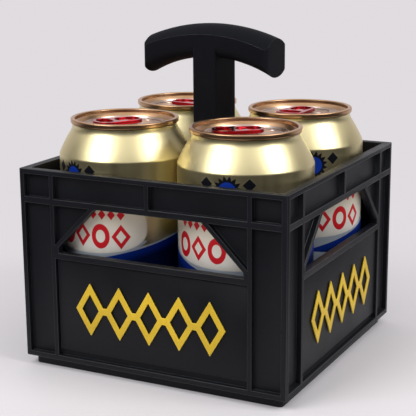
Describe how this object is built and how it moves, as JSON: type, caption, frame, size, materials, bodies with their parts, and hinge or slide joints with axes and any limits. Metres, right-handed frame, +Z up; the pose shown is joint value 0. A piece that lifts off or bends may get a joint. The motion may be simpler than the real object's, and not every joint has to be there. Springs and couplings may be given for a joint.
{
  "type": "mini drink crate",
  "caption": "Square ribbed drink crate with side windows, a central T-handle, raised sign plates, and ring-pull drink cans standing in it.",
  "frame": {"origin": "middle of the crate's foot, on the surface it stands on", "axes": "+Z up, +X along the grip towards the wall with the second sign plate, -Y out of the front wall"},
  "size_m": [0.144, 0.144, 0.1693],
  "materials": {
    "crate_plastic": "black, satin, with fine layer lines",
    "handle_plastic": "black, satin, with fine layer lines",
    "plate_plastic": "black, matt",
    "frieze_plastic": "yellow, satin",
    "can_print": "gold lacquer with printed bands",
    "end_metal": "copper-coloured lacquer",
    "tab_metal": "red lacquer, glossy"
  },
  "bodies": {
    "crate": {"crate_shell": "crate_plastic", "t_handle": "handle_plastic", "sign_plate_front": "plate_plastic", "sign_plate_right": "plate_plastic", "relief_front": "frieze_plastic", "relief_right": "frieze_plastic"},
    "can_front_right": {"can_body_front_right": "can_print", "can_end_front_right": "end_metal", "tab_tongue_front_right": "tab_metal"},
    "can_front_left": {"can_body_front_left": "can_print", "can_end_front_left": "end_metal", "tab_tongue_front_left": "tab_metal"},
    "can_back_right": {"can_body_back_right": "can_print", "can_end_back_right": "end_metal", "tab_tongue_back_right": "tab_metal"},
    "can_back_left": {"can_body_back_left": "can_print", "can_end_back_left": "end_metal", "tab_tongue_back_left": "tab_metal"},
    "pull_front_right": {"tab_front_right": "tab_metal"},
    "pull_front_left": {"tab_front_left": "tab_metal"},
    "pull_back_right": {"tab_back_right": "tab_metal"},
    "pull_back_left": {"tab_back_left": "tab_metal"},
    "mouth_front_right": {"mouth_panel_front_right": "end_metal"},
    "mouth_front_left": {"mouth_panel_front_left": "end_metal"},
    "mouth_back_right": {"mouth_panel_back_right": "end_metal"},
    "mouth_back_left": {"mouth_panel_back_left": "end_metal"}
  },
  "joints": [
    {"name": "can_front_right_lift", "type": "slide", "parent": "crate", "child": "can_front_right", "axis": [0, 0, 1], "range_m": [0, 0.018]},
    {"name": "can_front_left_lift", "type": "slide", "parent": "crate", "child": "can_front_left", "axis": [0, 0, 1], "range_m": [0, 0.018]},
    {"name": "can_back_right_lift", "type": "slide", "parent": "crate", "child": "can_back_right", "axis": [0, 0, 1], "range_m": [0, 0.018]},
    {"name": "can_back_left_lift", "type": "slide", "parent": "crate", "child": "can_back_left", "axis": [0, 0, 1], "range_m": [0, 0.018]},
    {"name": "tab_front_right_pull", "type": "hinge", "parent": "can_front_right", "child": "pull_front_right", "pos_m": [0.037, -0.03067, 0.1213], "axis": [-0.6293, 0.7771, 0], "range_deg": [0, 70]},
    {"name": "tab_front_left_pull", "type": "hinge", "parent": "can_front_left", "child": "pull_front_left", "pos_m": [-0.03092, -0.02981, 0.1213], "axis": [-0.8192, 0.5736, 0], "range_deg": [0, 70]},
    {"name": "tab_back_right_pull", "type": "hinge", "parent": "can_back_right", "child": "pull_back_right", "pos_m": [0.03389, 0.03798, 0.1213], "axis": [-0.9962, 0.0872, 0], "range_deg": [0, 70]},
    {"name": "tab_back_left_pull", "type": "hinge", "parent": "can_back_left", "child": "pull_back_left", "pos_m": [-0.03798, 0.03389, 0.1213], "axis": [-0.0872, -0.9962, 0], "range_deg": [0, 70]},
    {"name": "mouth_front_right_push", "type": "hinge", "parent": "can_front_right", "child": "mouth_front_right", "pos_m": [0.03606, -0.03142, 0.1201], "axis": [-0.6293, 0.7771, 0], "range_deg": [0, 70]},
    {"name": "mouth_front_left_push", "type": "hinge", "parent": "can_front_left", "child": "mouth_front_left", "pos_m": [-0.03161, -0.0308, 0.1201], "axis": [-0.8192, 0.5736, 0], "range_deg": [0, 70]},
    {"name": "mouth_back_right_push", "type": "hinge", "parent": "can_back_right", "child": "mouth_back_right", "pos_m": [0.03379, 0.03679, 0.1201], "axis": [-0.9962, 0.0872, 0], "range_deg": [0, 70]},
    {"name": "mouth_back_left_push", "type": "hinge", "parent": "can_back_left", "child": "mouth_back_left", "pos_m": [-0.03679, 0.03379, 0.1201], "axis": [-0.0872, -0.9962, 0], "range_deg": [0, 70]}
  ],
  "couplings": [
    {"joint": "mouth_front_right_push", "follows": "tab_front_right_pull", "ratio": 1},
    {"joint": "mouth_front_left_push", "follows": "tab_front_left_pull", "ratio": 1},
    {"joint": "mouth_back_right_push", "follows": "tab_back_right_pull", "ratio": 1},
    {"joint": "mouth_back_left_push", "follows": "tab_back_left_pull", "ratio": 1}
  ]
}
